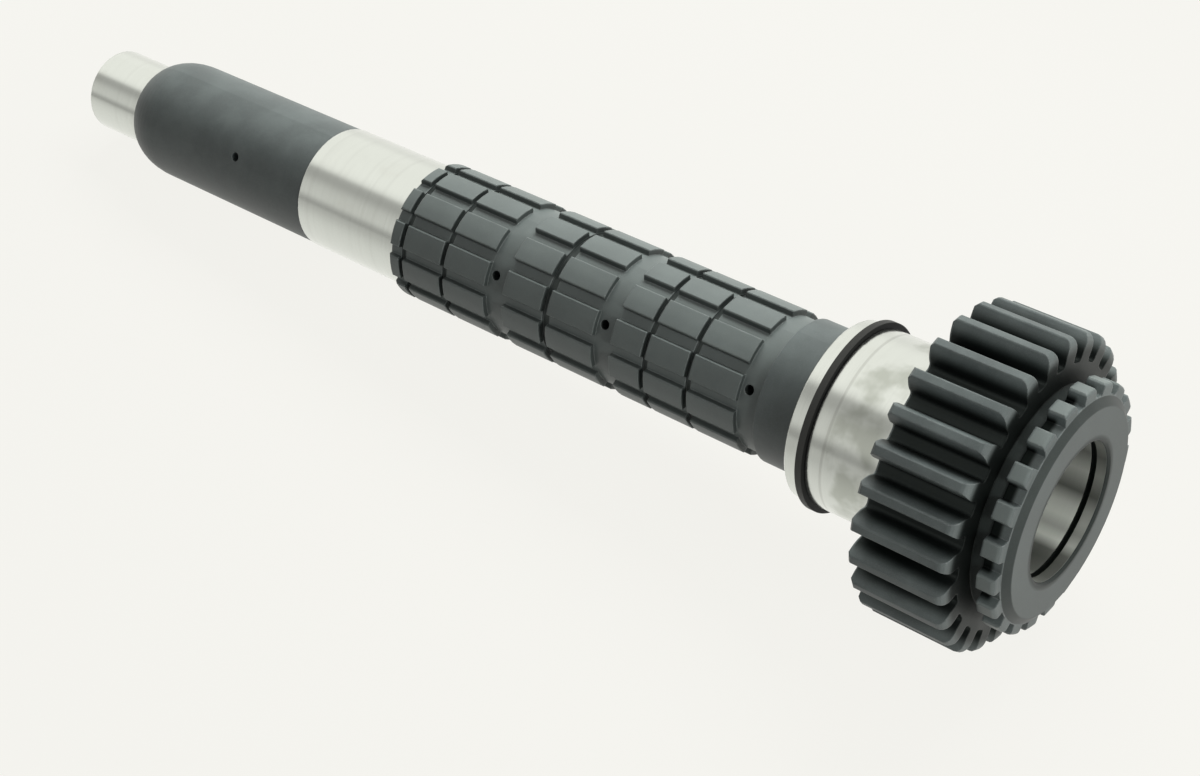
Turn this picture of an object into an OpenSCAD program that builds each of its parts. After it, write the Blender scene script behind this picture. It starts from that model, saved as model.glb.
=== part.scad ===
// Main shaft of a heavy gearbox, lying along X with its geared end towards +X.
// x = 0 is the shoulder where the splines end and the ground journal begins.
// Z is up, and angles round the shaft are turned from straight up towards -Y.

/* [Socket end] */
// Diameter of the flat front face
face_d = 90; // [86:0.5:94]
// Width of the plain cone between the front face and the dog teeth
face_cone_w = 2.5; // [1.5:0.1:4]
// Bore of the socket that pilots the next shaft
bore_d = 60; // [54:0.5:64]
// Depth of the socket's ground wall from the front face
bore_depth = 45; // [30:1:80]
// Chamfer at the mouth of the socket
bore_chamfer = 1; // [0.5:0.1:2]
// Distance from the front face to the groove in the socket
bore_groove_at = 5.5; // [4:0.1:8]
// Width of the groove in the socket
bore_groove_w = 2.5; // [1.5:0.1:3]
// Depth of the groove in the socket
bore_groove_h = 1.6; // [0.8:0.1:2]

/* [Dog teeth] */
// Number of dog teeth
dog_teeth = 21; // [19:1:22]
// Diameter over the dog teeth
dog_tip_d = 107; // [104:0.5:112]
// Diameter at the root of the dog teeth
dog_root_d = 97.6; // [94:0.1:99]
// Length of the dog teeth
dog_w = 8; // [6:0.5:10]
// Width of a dog tooth at its tip
dog_tooth_w = 7.4; // [6:0.1:9]
// Lean of each side of a dog tooth
dog_flank_angle = 8; // [4:1:14]
// Bevel along the top edges of each dog tooth
dog_bevel = 1; // [0.3:0.1:1.2]
// Length of the rounding at the front end of each dog tooth
dog_ease_w = 1.6; // [0.8:0.1:3]
// Drop of the rounding at the front end of each dog tooth
dog_ease_h = 1.8; // [0.8:0.1:3]
// Angle of the first dog tooth
dog_phase = 3.46; // [0:0.01:20]

/* [Relief groove] */
// Width of the relief groove between the gear and the dog teeth
gap_w = 5.5; // [4:0.5:8]
// Diameter at the bottom of the relief groove
gap_d = 96.4; // [90:0.1:97.4]

/* [Gear] */
// Number of gear teeth
gear_teeth = 26; // [24:1:28]
// Module of the gear
gear_module = 5; // [4.8:0.1:5.2]
// Pressure angle of the gear
gear_pressure = 20; // [18:0.5:22]
// Profile shift of the gear, in modules
gear_shift = -0.32; // [-0.4:0.02:0]
// Thinning of each tooth for running clearance
gear_backlash = 0.2; // [0:0.05:0.5]
// Bevel along the top edges of each tooth
gear_tip_bevel = 0.5; // [0.2:0.1:0.9]
// Radius of the fillet at the root of the teeth
gear_fillet = 1.8; // [1.2:0.1:2]
// Face width of the gear
gear_w = 42.5; // [36:0.5:50]
// Length of the rounding at the front end of each tooth
gear_front_ease = 3.5; // [1:0.1:5]
// Drop of the rounding at the front end of each tooth
gear_front_drop = 4.5; // [1:0.1:5]
// Chamfer at the back end of each tooth
gear_back_chamfer = 1.4; // [0.5:0.1:3]
// Angle of the first gear tooth
gear_phase = 8.9; // [0:0.01:15]

/* [Bearing seat] */
// Diameter of the bearing seat
seat_d = 80; // [76:0.5:84]
// Length of the bearing seat
seat_l = 50; // [44:1:60]
// Chamfer at the back edge of the bearing seat
seat_chamfer = 1; // [0.5:0.1:2]
// Width of the plain land behind the snap ring groove
seat_land_w = 7.5; // [5:0.5:12]
// Width of the snap ring groove
ring_groove_w = 3.2; // [2.8:0.1:4.5]
// Diameter at the bottom of the snap ring groove
ring_groove_d = 76; // [73:0.5:77]
// Outer diameter of the snap ring
ring_d = 85; // [82:0.5:88]
// Axial and radial clearance of the snap ring in its groove
ring_clear = 0.1; // [0.05:0.05:0.2]
// Width of the split in the snap ring
ring_split = 7; // [4:0.5:12]
// Angle of the split in the snap ring
ring_split_at = 235; // [200:1:300]
// Diameter of the smooth neck beside the bearing seat
neck_d = 65.4; // [63:0.1:65.8]
// Length of the smooth neck
neck_l = 20; // [14:1:26]
// Radius of the fillet where the neck meets the bearing seat
neck_fillet = 2.5; // [1:0.5:5]

/* [Splines] */
// Number of splines
spline_n = 12; // [10:1:14]
// Diameter over the splines
spline_d = 66; // [65:0.1:68]
// Diameter between the splines
spline_root_d = 60.8; // [60.8:0.1:61.4]
// Width of one spline
spline_w = 11.4; // [10:0.1:12]
// Length of the splined section with its wide grooves
spline_l = 206; // [204:1:225]
// Bevel along the top edges of each spline
spline_bevel = 0.5; // [0.2:0.1:0.8]
// Chamfer at the back end of the splines
spline_chamfer = 1.2; // [0.5:0.1:1.6]
// Angle of the first gap between splines
spline_phase = 14.25; // [0:0.01:30]

/* [Grooves across the splines] */
// Diameter at the bottom of the wide oil grooves
wide_groove_d = 60.7; // [59:0.1:60.7]
// Width of the wide oil groove beside the neck
wide_groove_1_w = 10; // [8:0.5:12]
// Start of the middle wide oil groove, from the front end of the splines
wide_groove_2_at = 76; // [72:1:80]
// Width of the middle wide oil groove
wide_groove_2_w = 10; // [8:0.5:12]
// Start of the back wide oil groove, from the front end of the splines
wide_groove_3_at = 137; // [132:1:142]
// Width of the back wide oil groove
wide_groove_3_w = 11; // [8:0.5:13]
// Diameter at the bottom of the ring grooves
ring_cut_d = 58.8; // [57:0.1:60.4]
// Width of the narrow ring grooves
ring_cut_w = 2.7; // [2:0.1:3.5]
// Width of the heavy ring groove in the middle band
heavy_cut_w = 4; // [3:0.1:5]
// Middle of the first narrow ring groove, from the front end of the splines
ring_cut_1_at = 35.5; // [30:0.5:40]
// Middle of the second narrow ring groove
ring_cut_2_at = 58.5; // [52:0.5:64]
// Middle of the heavy ring groove
heavy_cut_at = 113.5; // [105:0.5:120]
// Middle of the third narrow ring groove
ring_cut_3_at = 173.5; // [165:0.5:180]
// Middle of the last narrow ring groove
ring_cut_4_at = 198.5; // [190:0.5:200]

/* [Journals and barrel] */
// Diameter of the ground journal behind the splines
journal_d = 60; // [58:0.1:60.3]
// Length of the ground journal
journal_l = 62; // [50:1:75]
// Diameter of the dark barrel
barrel_d = 59.2; // [56:0.1:59.8]
// Length of the straight part of the dark barrel
barrel_l = 106; // [90:1:130]
// Length of the full dome that rounds the barrel's shoulder
dome_l = 22.3; // [14:0.1:30]
// Fall of the full dome, measured on the radius
dome_h = 12; // [10:0.1:16]
// Diameter of the pilot journal at the back end
pilot_d = 42; // [38:0.5:46]
// Length of the pilot journal
pilot_l = 36; // [28:0.5:50]
// Chamfer at the end of the pilot journal
pilot_chamfer = 1.5; // [0.5:0.1:3]
// Diameter of the lathe centre in the back end
centre_d = 10; // [6:0.5:14]
// Depth of the cylindrical bottom of the lathe centre
centre_pilot_l = 4; // [2:0.5:8]

/* [Oil ways] */
// Diameter of the oil gallery along the axis
gallery_d = 12; // [8:0.5:18]
// Diameter of the radial oil holes
oil_hole_d = 4.5; // [3:0.1:5]
// Angle of the row of oil holes
oil_hole_angle = 58.25; // [50:0.25:65]
// Distance of each hole in a wide groove from that groove's back edge
groove_hole_at = 3.7; // [3:0.1:4.5]
// Distance of the last oil hole from the front end of the barrel
barrel_hole_at = 45.5; // [30:0.5:80]
// Length of the gallery past the last oil hole
gallery_past = 12; // [8:1:30]

/* [Hidden] */
$fn = 96;
eps = 0.5;
reach = 50;

// Distances of the shoulders behind the front face
dog_front = face_cone_w;
dog_back = dog_front + dog_w;
gear_front = dog_back + gap_w;
gear_back = gear_front + gear_w;
seat_back = gear_back + seat_l;
spline_front = seat_back + neck_l;
spline_back = spline_front + spline_l;
journal_back = spline_back + journal_l;
dome_front = journal_back + barrel_l;
dome_turn = acos(1 - (barrel_d - pilot_d) / 2 / dome_h);
pilot_front = dome_front + dome_l * sin(dome_turn);
overall_l = pilot_front + pilot_l;

ring_front = seat_back - seat_land_w - ring_groove_w;
barrel_hole = journal_back + barrel_hole_at;
gallery_end = barrel_hole + gallery_past;
drill_slope = tan(30);

// Start and end of each wide groove, from the front end of the splines
WIDE_1 = [0, wide_groove_1_w];
WIDE_2 = [wide_groove_2_at, wide_groove_2_at + wide_groove_2_w];
WIDE_3 = [wide_groove_3_at, wide_groove_3_at + wide_groove_3_w];

// Gear circles
gear_pitch_r = gear_module * gear_teeth / 2;
gear_base_r = gear_pitch_r * cos(gear_pressure);
gear_tip_r = gear_pitch_r + gear_module * (1 + gear_shift);
gear_root_r = gear_pitch_r - gear_module * (1.25 - gear_shift);
bevel_turn = atan((gear_tip_bevel + 1) / gear_tip_r);
flank_steps = 5;
fillet_steps = 4;

// A point at radius r and angle a
function polar(r, a) = [r * cos(a), r * sin(a)];

// Involute function of an angle, in degrees
function inv(a) = tan(a) * 180 / PI - a;

// Half of a gear tooth's angle at radius r
function half_tooth(r) =
    (90 + (2 * gear_shift * tan(gear_pressure) - gear_backlash / gear_module) * 180 / PI) / gear_teeth
    + inv(gear_pressure) - inv(acos(min(1, gear_base_r / r)));

// One side of a gear tooth from the middle of the gap to past the tip, as radius and angle from the tooth's middle
function tooth_side() =
    let (
        foot = half_tooth(gear_base_r),
        mid_r = gear_root_r + gear_fillet,
        turn = asin(gear_fillet / mid_r),
        middle = polar(mid_r, foot + turn)
    )
    concat(
        [[gear_root_r, 180 / gear_teeth]],
        [for (i = [0 : fillet_steps])
            let (p = middle + polar(gear_fillet, foot + turn + 180 + (90 - turn) * i / fillet_steps))
            [norm(p), atan2(p[1], p[0])]],
        [for (i = [0 : flank_steps])
            let (r = gear_base_r + (gear_tip_r - gear_tip_bevel - gear_base_r) * i / flank_steps)
            [r, half_tooth(r)]],
        [[gear_tip_r + 1, half_tooth(gear_tip_r - gear_tip_bevel) - bevel_turn]]
    );

// The whole outline of the gear
function gear_outline() =
    let (side = tooth_side(), n = len(side))
    [for (k = [0 : gear_teeth - 1], i = [0 : 2 * n - 2])
        let (p = i < n ? side[i] : side[2 * n - 1 - i], a = i < n ? -p[1] : p[1])
        polar(p[0], a + 360 * k / gear_teeth)];

// The rounded front end of a ring of teeth, w long and h high, up to radius r at distance s + w
function eased(s, w, h, r, steps) =
    [for (i = [0 : steps]) let (t = 90 * i / steps) [s + w * (1 - cos(t)), r - h * (1 - sin(t))]];

// A groove in a turned outline, from distance a to distance b, with its floor at radius r in a land of radius land
function groove(a, b, r, land) = [[a, land], [a, r], [b, r], [b, land]];

// A ring groove across the splines, given its middle and width
function cut(middle, w) =
    groove(spline_front + middle - w / 2, spline_front + middle + w / 2, ring_cut_d / 2, spline_d / 2);

// Turns a profile whose x is the distance behind the front face and whose y is the radius
module turned(profile) {
    rotate([0, -90, 0]) rotate_extrude() polygon([for (p = profile) [p[1], p[0]]]);
}

// Holds a shape, drawn up from the axis, at an angle round the shaft
module round_shaft(angle) {
    rotate([angle, 0, 0]) children();
}

// Stands a flat shape across the shaft at distance s, and draws it forward by l
module across(s, l) {
    translate([-s, 0, 0]) rotate([90, 0, 90]) linear_extrude(l) children();
}

// The turned blank, from the front face to the pilot journal
module blank() {
    turned(concat(
        [[0, 0], [0, face_d / 2]],
        [[dog_front, dog_root_d / 2 - 0.3]],
        eased(dog_front, dog_ease_w, dog_ease_h, dog_tip_d / 2, 3),
        [[dog_back, dog_tip_d / 2], [dog_back, gap_d / 2], [gear_front, gap_d / 2]],
        eased(gear_front, gear_front_ease, gear_front_drop, gear_tip_r, 4),
        [[gear_back - gear_back_chamfer, gear_tip_r], [gear_back, gear_tip_r - gear_back_chamfer]],
        [[gear_back, seat_d / 2]],
        groove(ring_front, ring_front + ring_groove_w, ring_groove_d / 2, seat_d / 2),
        [[seat_back - seat_chamfer, seat_d / 2], [seat_back, seat_d / 2 - seat_chamfer]],
        [for (i = [0 : 5])
            [seat_back + neck_fillet, neck_d / 2 + neck_fillet] + polar(neck_fillet, 180 + 90 * i / 5)],
        [[spline_front, neck_d / 2], [spline_front, wide_groove_d / 2]],
        [[spline_front + WIDE_1[1], wide_groove_d / 2], [spline_front + WIDE_1[1], spline_d / 2]],
        cut(ring_cut_1_at, ring_cut_w),
        cut(ring_cut_2_at, ring_cut_w),
        groove(spline_front + WIDE_2[0], spline_front + WIDE_2[1], wide_groove_d / 2, spline_d / 2),
        cut(heavy_cut_at, heavy_cut_w),
        groove(spline_front + WIDE_3[0], spline_front + WIDE_3[1], wide_groove_d / 2, spline_d / 2),
        cut(ring_cut_3_at, ring_cut_w),
        cut(ring_cut_4_at, ring_cut_w),
        [[spline_back - spline_chamfer, spline_d / 2], [spline_back, spline_d / 2 - spline_chamfer]],
        [[spline_back, journal_d / 2], [journal_back, journal_d / 2], [journal_back, barrel_d / 2]],
        [for (i = [0 : 10])
            let (t = dome_turn * i / 10)
            [dome_front + dome_l * sin(t), barrel_d / 2 - dome_h * (1 - cos(t))]],
        [[overall_l - pilot_chamfer, pilot_d / 2], [overall_l, pilot_d / 2 - pilot_chamfer]],
        [[overall_l, 0]]
    ));
}

// Gaps between the gear teeth
module gear_gaps() {
    translate([-gear_back - 1, 0, 0])
        round_shaft(gear_phase)
            rotate([0, 90, 0])
                rotate([0, 0, 180])
                    linear_extrude(gear_w + gap_w / 2 + 1)
                        difference() {
                            circle(r = gear_tip_r + 4);
                            polygon(gear_outline());
                        }
}

// Gaps between the dog teeth
module dog_gaps() {
    pitch = 360 / dog_teeth;
    lean = tan(dog_flank_angle + pitch / 2);
    rise = (dog_tip_d - dog_root_d) / 2;
    root = dog_tip_d / 2 * sin(pitch / 2) - dog_tooth_w / 2 - rise * lean;
    edge = [root + (rise - dog_bevel) * lean, rise - dog_bevel];
    out = edge + [dog_bevel + 2, dog_bevel + 2];
    difference() {
        for (k = [0 : dog_teeth - 1])
            round_shaft(dog_phase + pitch * (k + 0.5))
                across(dog_back + 1, dog_w + 2)
                    translate([0, dog_root_d / 2])
                        polygon([
                            [-root, -1], [root, -1], [root, 0], edge, out,
                            [-out[0], out[1]], [-edge[0], edge[1]], [-root, 0]
                        ]);
        turned([[0, 0], [0, dog_root_d / 2], [dog_back + 2, dog_root_d / 2], [dog_back + 2, 0]]);
    }
}

// Gaps between the splines
module spline_gaps() {
    pitch = 360 / spline_n;
    // A point on the side of the gap at radius r
    function side(r) = polar(r, 90 - pitch / 2 + asin(spline_w / 2 / r));
    low = side(spline_root_d / 2 - 1);
    top = side(spline_d / 2 - spline_bevel);
    out = top + [2, 2];
    difference() {
        for (k = [0 : spline_n - 1])
            round_shaft(spline_phase + pitch * k)
                across(spline_back + eps, spline_l + eps - wide_groove_1_w / 2)
                    polygon([[-low[0], low[1]], low, top, out, [-out[0], out[1]], [-top[0], top[1]]]);
        turned([
            [spline_front, 0],
            [spline_front, spline_root_d / 2],
            [spline_back + 1, spline_root_d / 2],
            [spline_back + 1, 0]
        ]);
    }
}

// The socket with its groove, running on into the oil gallery
module socket() {
    turned([
        [-eps, 0],
        [-eps, bore_d / 2 + bore_chamfer + eps],
        [bore_chamfer, bore_d / 2],
        [bore_groove_at, bore_d / 2],
        [bore_groove_at, bore_d / 2 + bore_groove_h],
        [bore_groove_at + bore_groove_w, bore_d / 2 + bore_groove_h],
        [bore_groove_at + bore_groove_w, bore_d / 2],
        [bore_depth, bore_d / 2],
        [bore_depth + (bore_d - gallery_d) / 2 * drill_slope, gallery_d / 2],
        [gallery_end, gallery_d / 2],
        [gallery_end + gallery_d / 2 * drill_slope, 0]
    ]);
}

// The lathe centre in the back end, with sides at 60 degrees to each other
module lathe_centre() {
    cone_l = centre_d / 4 / drill_slope;
    turned([
        [overall_l + eps, 0],
        [overall_l + eps, centre_d / 2 + eps * drill_slope],
        [overall_l - cone_l, centre_d / 4],
        [overall_l - cone_l - centre_pilot_l, centre_d / 4],
        [overall_l - cone_l - centre_pilot_l, 0]
    ]);
}

// The row of oil holes, one in each wide groove and one in the barrel
module oil_holes() {
    for (g = [WIDE_1, WIDE_2, WIDE_3])
        round_shaft(oil_hole_angle)
            translate([-spline_front - g[1] + groove_hole_at, 0, 0]) cylinder(h = reach, d = oil_hole_d);
    round_shaft(oil_hole_angle)
        translate([-barrel_hole, 0, 0]) cylinder(h = reach, d = oil_hole_d);
}

// The one-piece forging
module shaft() {
    color([0.30, 0.31, 0.31])
        translate([spline_back, 0, 0])
            difference() {
                blank();
                gear_gaps();
                dog_gaps();
                spline_gaps();
                socket();
                lathe_centre();
                oil_holes();
            }
}

// The split ring in the groove of the bearing seat
module snap_ring() {
    color([0.08, 0.08, 0.08])
        translate([spline_back, 0, 0])
            difference() {
                turned([
                    [ring_front + ring_clear, ring_groove_d / 2 + ring_clear],
                    [ring_front + ring_clear, ring_d / 2],
                    [ring_front + ring_groove_w - ring_clear, ring_d / 2],
                    [ring_front + ring_groove_w - ring_clear, ring_groove_d / 2 + ring_clear]
                ]);
                round_shaft(ring_split_at)
                    translate([-ring_front - ring_groove_w / 2, 0, ring_d / 2])
                        cube([ring_groove_w * 2, ring_split, ring_d / 2], center = true);
            }
}

shaft();
snap_ring();
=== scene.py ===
"""Looks for the gearbox main shaft: materials, floor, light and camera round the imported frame."""

import math

import bpy
from mathutils import Matrix, Vector

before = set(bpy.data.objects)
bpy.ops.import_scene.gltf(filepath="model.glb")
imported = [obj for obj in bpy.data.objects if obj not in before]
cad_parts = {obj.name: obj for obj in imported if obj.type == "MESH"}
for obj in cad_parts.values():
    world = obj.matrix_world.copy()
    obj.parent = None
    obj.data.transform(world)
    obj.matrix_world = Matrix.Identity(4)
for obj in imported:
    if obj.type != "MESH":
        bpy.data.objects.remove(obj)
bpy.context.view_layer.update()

# Distances along the shaft, in metres, from the shoulder between the splines and the ground journal
FRONT = 0.3345
GEAR_BACK = 0.276
GEAR_FRONT = 0.3185
SEAT_BACK = 0.226
SPLINE_FRONT = 0.206
JOURNAL_BACK = -0.062
DOME_BACK = -0.1894
SOCKET_BOTTOM = 0.2754
WALL_BACK = 0.2895
DOG_BACK = 0.324
DOG_FRONT = 0.332
MOUTH = 0.0013

# The photograph's background, and the colours of the finishes, as linear values
BACKGROUND = (0.921, 0.913, 0.871, 1.0)
COAT = (0.0445, 0.054, 0.0525, 1.0)
COAT_PALE = (0.082, 0.097, 0.093, 1.0)
# Near-black for painted shade in gaps, grooves and recesses
COAT_PAINTED_SHADE = (0.0105, 0.0135, 0.0125, 1.0)
COAT_RUBBED = (0.116, 0.134, 0.125, 1.0)
STEEL = (0.645, 0.670, 0.635, 1.0)
STEEL_DULL = (0.46, 0.45, 0.40, 1.0)
# Dark and pale of the painted reflection in the socket
WALL_REFLECTION_DARK = (0.035, 0.037, 0.032, 1.0)
WALL_REFLECTION_PALE = (0.460, 0.480, 0.430, 1.0)
WALL_METAL = 0.05
WALL_ROUGH = 0.30


# Camera at the photograph's viewpoint
def make_camera():
    data = bpy.data.cameras.new("camera")
    data.sensor_fit = "HORIZONTAL"
    data.sensor_width = 36.0
    data.lens = 62.82
    data.clip_start = 0.01
    camera = bpy.data.objects.new("camera", data)
    right = Vector((0.776463, 0.626709, -0.065884))
    up = Vector((-0.367202, 0.534939, 0.760923))
    back = Vector((0.512121, -0.566636, 0.645489))
    turn = Matrix((right, up, back)).transposed().to_4x4()
    camera.matrix_world = Matrix.Translation((0.59107, -0.54954, 0.57411)) @ turn
    bpy.context.scene.collection.objects.link(camera)
    bpy.context.scene.camera = camera


class Tree:
    """Short ways to add shader nodes to one material or world."""

    def __init__(self, tree):
        self.tree = tree
        tree.nodes.clear()

    def add(self, kind, inputs=None, **settings):
        node = self.tree.nodes.new(kind)
        for name, value in settings.items():
            setattr(node, name, value)
        for key, value in (inputs or {}).items():
            if isinstance(value, bpy.types.NodeSocket):
                self.tree.links.new(value, node.inputs[key])
            else:
                node.inputs[key].default_value = value
        return node

    def math(self, operation, a, b=0.0, c=0.0):
        return self.add("ShaderNodeMath", {0: a, 1: b, 2: c}, operation=operation).outputs[0]

    def ramp(self, value, low, high):
        """0 below low, 1 above high, smooth between."""
        node = self.add("ShaderNodeMapRange", {0: value, 1: low, 2: high, 3: 0.0, 4: 1.0})
        node.interpolation_type = "SMOOTHSTEP"
        return node.outputs[0]

    def between(self, value, low, high, soft=0.0002):
        """1 from low to high and 0 outside."""
        rise = self.ramp(value, low - soft, low + soft)
        fall = self.ramp(value, high - soft, high + soft)
        return self.math("MULTIPLY", rise, self.math("SUBTRACT", 1.0, fall))

    def mix(self, share, a, b):
        node = self.add("ShaderNodeMix", data_type="RGBA")
        for socket, value in ((0, share), (6, a), (7, b)):
            if isinstance(value, bpy.types.NodeSocket):
                self.tree.links.new(value, node.inputs[socket])
            else:
                node.inputs[socket].default_value = value
        return node.outputs[2]

    def blend(self, share, a, b):
        """A number between a and b."""
        node = self.add("ShaderNodeMapRange", {0: share, 1: 0.0, 2: 1.0, 3: a, 4: b})
        return node.outputs[0]

    def turn(self, share, a, b):
        """A direction between a and b."""
        node = self.add("ShaderNodeMix", data_type="VECTOR")
        for socket, value in ((0, share), (4, a), (5, b)):
            self.tree.links.new(value, node.inputs[socket])
        return node.outputs[1]

    def bands(self, turn, stops):
        """A number that depends on an angle in radians, from pairs of degrees and number, each number up to 2."""
        ramp = self.add("ShaderNodeValToRGB", {0: self.math("ADD", self.math("DIVIDE", turn, 2 * math.pi), 0.5)})
        elements = ramp.color_ramp.elements
        for i, (angle, level) in enumerate(stops):
            stop = elements[i] if i < 2 else elements.new(1.0)
            stop.position = angle / 360 + 0.5
            stop.color = (level / 2, level / 2, level / 2, 1.0)
        return self.math("MULTIPLY", ramp.outputs[0], 2.0)

    def noise(self, vector, scale, detail=3.0, rough=0.5):
        node = self.add("ShaderNodeTexNoise", {"Vector": vector, "Scale": scale, "Detail": detail, "Roughness": rough})
        return node.outputs["Fac"]


def new_material(name):
    material = bpy.data.materials.new(name)
    material.use_nodes = True
    return material, Tree(material.node_tree)


def shaft_material():
    """One finish for the forging: dark phosphate coat with the ground zones bright."""
    material, t = new_material("forging_finish")
    place = t.add("ShaderNodeTexCoord").outputs["Object"]
    x, y, z = t.add("ShaderNodeSeparateXYZ", {0: place}).outputs
    radius = t.math("SQRT", t.math("ADD", t.math("MULTIPLY", y, y), t.math("MULTIPLY", z, z)))

    # Ground zones
    pilot = t.math("SUBTRACT", 1.0, t.ramp(x, DOME_BACK - 0.0004, DOME_BACK))
    journal = t.between(x, JOURNAL_BACK, 0.0)
    seat = t.math("MULTIPLY", t.between(x, SEAT_BACK - 0.0004, GEAR_BACK), t.between(radius, 0.0358, 0.0404))
    bore = t.math("MULTIPLY", t.between(x, SOCKET_BOTTOM, FRONT - MOUTH, 0.0001),
                  t.math("SUBTRACT", 1.0, t.ramp(radius, 0.0301, 0.0302)))
    outside = t.math("MAXIMUM", t.math("MAXIMUM", pilot, journal), seat)
    bright = t.math("MAXIMUM", outside, bore)

    # Painted shade where shade falls: a near-black coat on tooth gaps, the groove before the gear's front, the collar,
    # the back of the dog gaps, the rim cone, the socket's mouth, slot walls, ring grooves and the groove inside the
    # socket; the front face is a little darker too
    low = t.math("SUBTRACT", 1.0, t.ramp(radius, 0.0610, 0.0672))
    gear = t.math("MULTIPLY", t.between(x, GEAR_BACK + 0.0006, GEAR_FRONT - 0.0005), low)
    recess = t.math("SUBTRACT", 1.0, t.ramp(radius, 0.0605, 0.0668))
    gap = t.math("MULTIPLY", t.between(x, GEAR_FRONT - 0.001, GEAR_FRONT + 0.0006, 0.0005), recess)
    collar = t.math("MULTIPLY", t.between(x, GEAR_FRONT, DOG_BACK), t.math("SUBTRACT", 1.0, t.ramp(radius, 0.0490, 0.0530)))
    dogs = t.math("MULTIPLY", t.between(x, DOG_BACK, DOG_FRONT - 0.0002),
                  t.math("SUBTRACT", 1.0, t.ramp(radius, 0.0491, 0.0524)))
    dogs = t.math("MULTIPLY", dogs, t.blend(t.ramp(x, 0.3270, 0.3292), 1.0, 0.08))
    cone = t.math("MULTIPLY", t.ramp(x, DOG_FRONT, DOG_FRONT + 0.0002), t.ramp(radius, 0.0440, 0.0453))
    mouth = t.math("MULTIPLY", t.ramp(x, FRONT - MOUTH - 0.0001, FRONT - MOUTH + 0.0001),
                   t.math("SUBTRACT", 1.0, t.ramp(radius, 0.0312, 0.0345)))
    face = t.ramp(x, FRONT - 0.0003, FRONT - 0.0001)
    walls = t.math("MULTIPLY", t.between(x, -0.001, SPLINE_FRONT), t.between(radius, 0.03055, 0.0325, 0.0001))
    cuts = t.math("MULTIPLY", t.between(x, 0.0005, SPLINE_FRONT), t.math("SUBTRACT", 1.0, t.ramp(radius, 0.0299, 0.0302)))
    relief = t.math("MULTIPLY", t.ramp(x, 0.31, 0.311), t.between(radius, 0.0303, 0.0320, 0.0001))
    relief = t.math("MULTIPLY", relief, t.math("SUBTRACT", 1.0, t.ramp(x, 0.3325, 0.333)))
    painted_shade = t.math("MULTIPLY", gear, 0.82)
    for part, share in ((gap, 0.92), (collar, 0.6), (dogs, 1.0), (cone, 0.6), (mouth, 0.75), (walls, 0.35),
                        (cuts, 0.5), (relief, 1.0), (face, 0.22)):
        painted_shade = t.math("MAXIMUM", painted_shade, t.math("MULTIPLY", part, share))
    painted_shade = t.math("MULTIPLY", painted_shade, t.math("SUBTRACT", 1.0, bright))

    # Coat colour: fine grain, broad mottling and a little rubbing on the edges
    grain = t.noise(place, 2600.0, 2.0, 0.6)
    mottle = t.noise(place, 60.0, 4.0, 0.6)
    coat = t.mix(t.math("MULTIPLY", t.ramp(mottle, 0.35, 0.70), 0.5), COAT, COAT_PALE)
    coat = t.mix(t.math("MULTIPLY", t.ramp(grain, 0.45, 0.75), 0.3), coat, (0.11, 0.12, 0.118, 1.0))
    coat = t.mix(t.math("MULTIPLY", t.between(x, -0.0005, SPLINE_FRONT), 0.35), coat, COAT_RUBBED)
    pads = t.math("MULTIPLY", t.between(x, DOG_BACK + 0.0006, DOG_FRONT - 0.0008, 0.0006), t.ramp(radius, 0.0524, 0.0532))
    coat = t.mix(t.math("MULTIPLY", pads, 0.4), coat, COAT_RUBBED)
    # Painted shade: the near-black colour goes over the places masked above
    coat = t.mix(painted_shade, coat, COAT_PAINTED_SHADE)
    round_normal = t.add("ShaderNodeBevel", {"Radius": 0.0008}, samples=6).outputs[0]
    true_normal = t.add("ShaderNodeNewGeometry").outputs["Normal"]
    facing = t.add("ShaderNodeVectorMath", {0: round_normal, 1: true_normal}, operation="DOT_PRODUCT").outputs["Value"]
    edge = t.math("SUBTRACT", 1.0, t.ramp(facing, 0.80, 0.995))
    rub = t.math("MULTIPLY", edge, t.ramp(t.noise(place, 220.0, 3.0, 0.6), 0.30, 0.65))
    rub = t.math("MULTIPLY", rub, t.math("SUBTRACT", 1.0, t.math("MULTIPLY", painted_shade, 0.9)))
    coat = t.mix(t.math("MULTIPLY", rub, 0.5), coat, (0.21, 0.225, 0.22, 1.0))

    # Steel: fine rings left by the grinding wheel, faint stains and one witness ring on the seat
    along = t.add("ShaderNodeCombineXYZ", {0: x, 1: t.math("MULTIPLY", y, 0.01), 2: t.math("MULTIPLY", z, 0.01)})
    rings = t.noise(along.outputs[0], 2600.0, 3.0, 0.7)
    bands = t.noise(along.outputs[0], 170.0, 2.0, 0.5)
    stain = t.noise(place, 45.0, 4.0, 0.6)
    steel = t.mix(t.math("MULTIPLY", t.ramp(rings, 0.35, 0.75), 0.16), STEEL, (0.50, 0.51, 0.49, 1.0))
    steel = t.mix(t.math("MULTIPLY", t.ramp(bands, 0.45, 0.75), 0.18), steel, (0.50, 0.51, 0.48, 1.0))
    steel = t.mix(t.math("MULTIPLY", t.ramp(stain, 0.52, 0.80), 0.22), steel, STEEL_DULL)
    steel = t.mix(t.math("MULTIPLY", t.between(x, 0.2435, 0.2447, 0.0003), 0.30), steel, (0.30, 0.30, 0.28, 1.0))
    blotch = t.math("MULTIPLY", t.between(x, 0.2445, 0.2665, 0.0030), t.ramp(t.noise(place, 62.0, 3.0, 0.5), 0.42, 0.62))
    steel = t.mix(t.math("MULTIPLY", blotch, 0.55), steel, (0.30, 0.32, 0.27, 1.0))

    # Painted reflection on the socket's ground steel: bright and dark bands along its length, set by the angle round
    # the axis
    turn = t.math("ARCTAN2", t.math("MULTIPLY", y, -1.0), z)
    reflection_bands = t.bands(turn, SOCKET_REFLECTION_BANDS)
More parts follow.
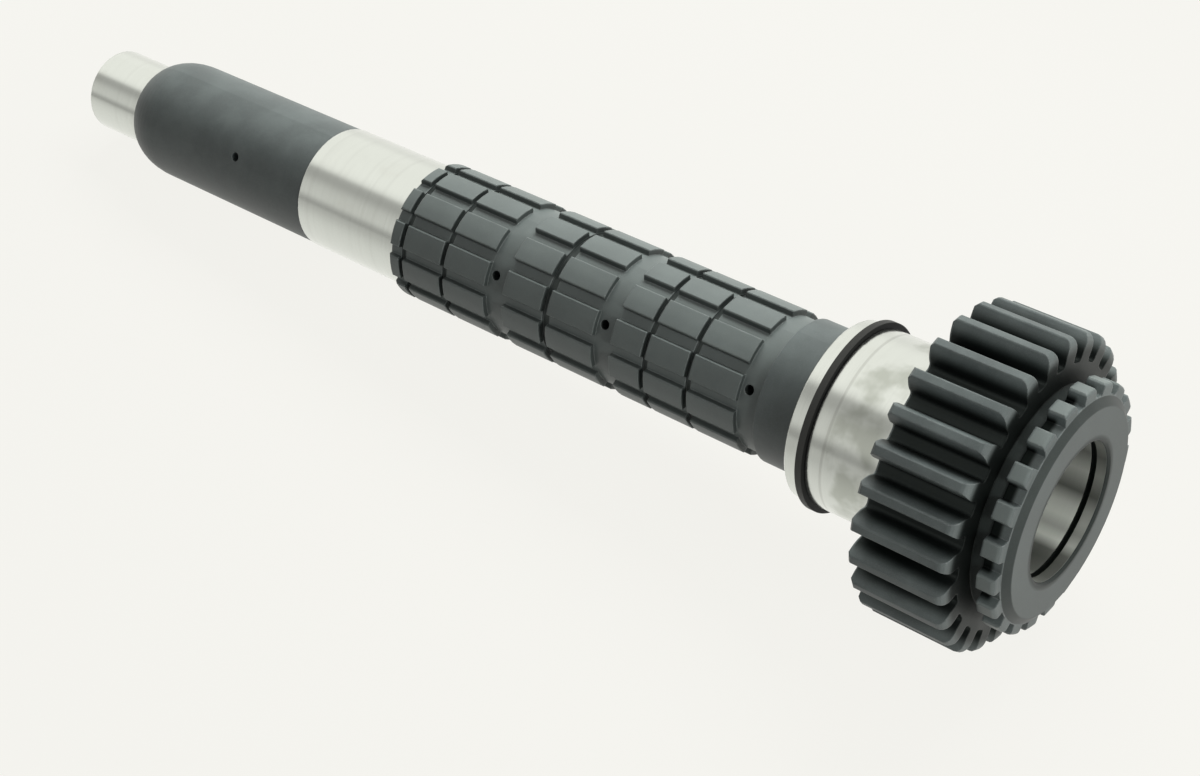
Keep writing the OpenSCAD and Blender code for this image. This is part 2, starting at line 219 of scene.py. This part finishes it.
    # Painted shade near the mouth: the reflection bands are halved within about 6 mm of the front
    reflection_bands = t.math("MULTIPLY", reflection_bands, t.blend(t.ramp(x, 0.3275, 0.3285), 1.0, 0.5))
    reflection_bands = t.math("MULTIPLY", reflection_bands, t.blend(t.noise(along.outputs[0], 400.0, 2.0, 0.5), 0.92, 1.08))
    # Beyond the wall, on the cone at the bottom, one plain level takes the place of the painted reflection
    reflection_bands = t.blend(t.ramp(x, WALL_BACK - 0.0004, WALL_BACK), 0.35, reflection_bands)
    wall = t.mix(reflection_bands, WALL_REFLECTION_DARK, WALL_REFLECTION_PALE)
    steel = t.mix(bore, steel, wall)

    # Roughness, metal and relief
    coat_rough = t.blend(mottle, 0.40, 0.58)
    steel_rough = t.math("ADD", t.blend(rings, 0.13, 0.24), t.math("MULTIPLY", bore, WALL_ROUGH))
    rough = t.math("ADD", t.math("MULTIPLY", t.math("SUBTRACT", 1.0, bright), coat_rough),
                   t.math("MULTIPLY", bright, steel_rough))
    # In the painted shade the surface is also made metallic with its near-black colour, so it mirrors little
    metal = t.math("MAXIMUM", t.math("SUBTRACT", bright, t.math("MULTIPLY", bore, 1.0 - WALL_METAL)), painted_shade)
    height = t.math("ADD", t.math("MULTIPLY", t.math("SUBTRACT", 1.0, bright), grain),
                    t.math("MULTIPLY", t.math("MULTIPLY", bright, rings), 0.20))
    normal = t.turn(bore, round_normal, true_normal)
    bump = t.add("ShaderNodeBump", {"Strength": 0.10, "Distance": 0.00012, "Height": height,
                                    "Normal": normal}).outputs[0]
    shader = t.add("ShaderNodeBsdfPrincipled", {
        "Base Color": t.mix(bright, coat, steel),
        "Metallic": metal,
        "Roughness": rough,
        "Normal": bump,
        "Specular IOR Level": 0.5,
    })
    t.add("ShaderNodeOutputMaterial", {"Surface": shader.outputs[0]})
    return material


def ring_material():
    """Black oxide on the snap ring."""
    material, t = new_material("spring_steel_finish")
    place = t.add("ShaderNodeTexCoord").outputs["Object"]
    grain = t.noise(place, 1500.0, 3.0, 0.6)
    colour = t.mix(t.ramp(grain, 0.3, 0.8), (0.008, 0.008, 0.009, 1.0), (0.022, 0.022, 0.024, 1.0))
    x, y, z = t.add("ShaderNodeSeparateXYZ", {0: place}).outputs
    radius = t.math("SQRT", t.math("ADD", t.math("MULTIPLY", y, y), t.math("MULTIPLY", z, z)))
    colour = t.mix(t.ramp(radius, 0.0421, 0.0424), colour, (0.055, 0.056, 0.054, 1.0))
    bump = t.add("ShaderNodeBump", {"Strength": 0.15, "Distance": 0.0001, "Height": grain}).outputs[0]
    shader = t.add("ShaderNodeBsdfPrincipled", {
        "Base Color": colour,
        "Roughness": t.blend(grain, 0.50, 0.70),
        "Normal": bump,
        "Metallic": 0.9,
    })
    t.add("ShaderNodeOutputMaterial", {"Surface": shader.outputs[0]})
    return material


# Floor that the shaft lies on: it touches the gear's teeth and the barrel's shoulder, so it leans
FLOOR_LEAN = math.radians(4.95)
FLOOR_NORMAL = Vector((math.sin(FLOOR_LEAN), 0.0, math.cos(FLOOR_LEAN)))
SHADOW_SHARE = 0.05
PAPER = (0.34, 0.34, 0.325, 1.0)


def make_floor(shaft):
    low = min(FLOOR_NORMAL.dot(v.co) for v in shaft.data.vertices)
    middle = Vector((0.055, 0.0, 0.0))
    middle += FLOOR_NORMAL * (low - FLOOR_NORMAL.dot(middle))
    across = Vector((0.0, 1.0, 0.0))
    along = across.cross(FLOOR_NORMAL)
    reach, steps = 0.50, 96
    rim = [middle + reach * (math.cos(a) * along + math.sin(a) * across)
           for a in (2 * math.pi * i / steps for i in range(steps))]
    mesh = bpy.data.meshes.new("floor")
    mesh.from_pydata([middle] + rim, [], [(0, 1 + i, 1 + (i + 1) % steps) for i in range(steps)])
    floor = bpy.data.objects.new("floor", mesh)
    bpy.context.scene.collection.objects.link(floor)

    material, t = new_material("floor_paper")
    place = t.add("ShaderNodeTexCoord").outputs["Object"]
    away = t.add("ShaderNodeVectorMath", {0: place, 1: tuple(middle)}, operation="DISTANCE").outputs["Value"]
    fade = t.math("MULTIPLY", t.math("SUBTRACT", 1.0, t.ramp(away, 0.28, 0.48)), SHADOW_SHARE)
    fibre = t.noise(place, 900.0, 2.0, 0.5)
    paper = t.mix(t.math("MULTIPLY", fibre, 0.02), PAPER, (0.30, 0.30, 0.28, 1.0))
    matte = t.add("ShaderNodeBsdfDiffuse", {"Color": paper}).outputs[0]
    plain = t.add("ShaderNodeEmission", {"Color": BACKGROUND, "Strength": 1.0}).outputs[0]
    # For glossy rays the floor glows with painted light and shade that the steel mirrors: dimmer towards the front
    # (-Y), brighter than the plain floor towards the back
    y = t.add("ShaderNodeSeparateXYZ", {0: place}).outputs[1]
    mirrored_floor_light = t.blend(t.ramp(y, -0.22, 0.02), 0.70, 1.12)
    mirrored = t.add("ShaderNodeEmission", {"Color": BACKGROUND, "Strength": mirrored_floor_light}).outputs[0]
    path = t.add("ShaderNodeLightPath")
    share = t.math("MULTIPLY", path.outputs["Is Camera Ray"], t.math("SUBTRACT", 1.0, fade))
    surface = t.add("ShaderNodeMixShader", {0: share, 1: matte, 2: plain}).outputs[0]
    surface = t.add("ShaderNodeMixShader", {0: path.outputs["Is Glossy Ray"], 1: surface, 2: mirrored}).outputs[0]
    t.add("ShaderNodeOutputMaterial", {"Surface": surface})
    floor.data.materials.append(material)


def make_lamp(name, place, aim, size, power, in_gloss):
    data = bpy.data.lights.new(name, "AREA")
    data.shape = "RECTANGLE"
    data.size, data.size_y = size
    data.energy = power
    lamp = bpy.data.objects.new(name, data)
    lamp.location = place
    lamp.rotation_euler = (Vector(aim) - Vector(place)).to_track_quat("-Z", "Y").to_euler()
    lamp.visible_glossy = in_gloss
    bpy.context.scene.collection.objects.link(lamp)


# Painted reflection in the socket: level of the bright and dark bands by the angle round the shaft, in degrees
SOCKET_REFLECTION_BANDS = (
    (-180, 0.05), (-170, 0.10), (-160, 0.95), (-150, 0.50), (-140, 0.80), (-130, 0.60), (-118, 0.05),
    (-100, 0.45), (-80, 0.10), (-60, 0.50), (-20, 0.40), (10, 0.80), (45, 0.90), (75, 0.35), (105, 0.70),
    (135, 0.50), (160, 0.10), (180, 0.05),
)

# What polished steel mirrors: brightness by the angle round the shaft, in degrees from straight up towards the front
STUDIO = (
    (-180, 1.05), (-110, 1.22), (-92, 1.12), (-82, 1.12), (-66, 1.30), (12, 1.32), (22, 1.22), (30, 0.56),
    (42, 0.54), (58, 0.80), (78, 0.90), (90, 0.46), (102, 0.46), (116, 0.72), (180, 1.05),
)


def make_light():
    world = bpy.data.worlds.new("studio")
    bpy.context.scene.world = world
    world.use_nodes = True
    t = Tree(world.node_tree)
    x, y, z = t.add("ShaderNodeSeparateXYZ", {0: t.add("ShaderNodeTexCoord").outputs["Generated"]}).outputs
    turn = t.math("ARCTAN2", t.math("MULTIPLY", y, -1.0), z)
    level = t.bands(turn, STUDIO)
    ends = t.math("MULTIPLY", t.ramp(x, 0.55, 0.85), 0.9)
    level = t.blend(ends, level, 1.6)
    path = t.add("ShaderNodeLightPath")
    mirrored = t.add("ShaderNodeBackground", {"Color": BACKGROUND, "Strength": level}).outputs[0]
    shown = t.add("ShaderNodeBackground", {"Color": BACKGROUND, "Strength": 1.0}).outputs[0]
    fill = t.add("ShaderNodeBackground", {"Color": (0.95, 0.97, 1.0, 1.0), "Strength": 0.28}).outputs[0]
    mixed = t.add("ShaderNodeMixShader", {0: path.outputs["Is Camera Ray"], 1: fill, 2: shown}).outputs[0]
    mixed = t.add("ShaderNodeMixShader", {0: path.outputs["Is Glossy Ray"], 1: mixed, 2: mirrored}).outputs[0]
    t.add("ShaderNodeOutputWorld", {"Surface": mixed})
    make_lamp("overhead", (0.05, 0.75, 0.95), (0.05, 0.0, 0.0), (1.3, 0.6), 46.0, False)
    make_lamp("end_fill", (1.45, -0.25, 0.35), (0.33, 0.0, 0.0), (0.6, 0.5), 3.0, False)
    make_lamp("socket_fill", (0.62, -0.16, 0.17), (0.31, 0.0, 0.0), (0.12, 0.12), 1.35, False)


make_camera()
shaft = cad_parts["shaft"]
snap_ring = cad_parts["snap_ring"]
for piece, finish in ((shaft, shaft_material()), (snap_ring, ring_material())):
    for i in range(max(1, len(piece.material_slots))):
        if i < len(piece.material_slots):
            piece.material_slots[i].material = finish
        else:
            piece.data.materials.append(finish)
make_floor(shaft)
make_light()
bpy.context.scene.view_settings.view_transform = "Standard"
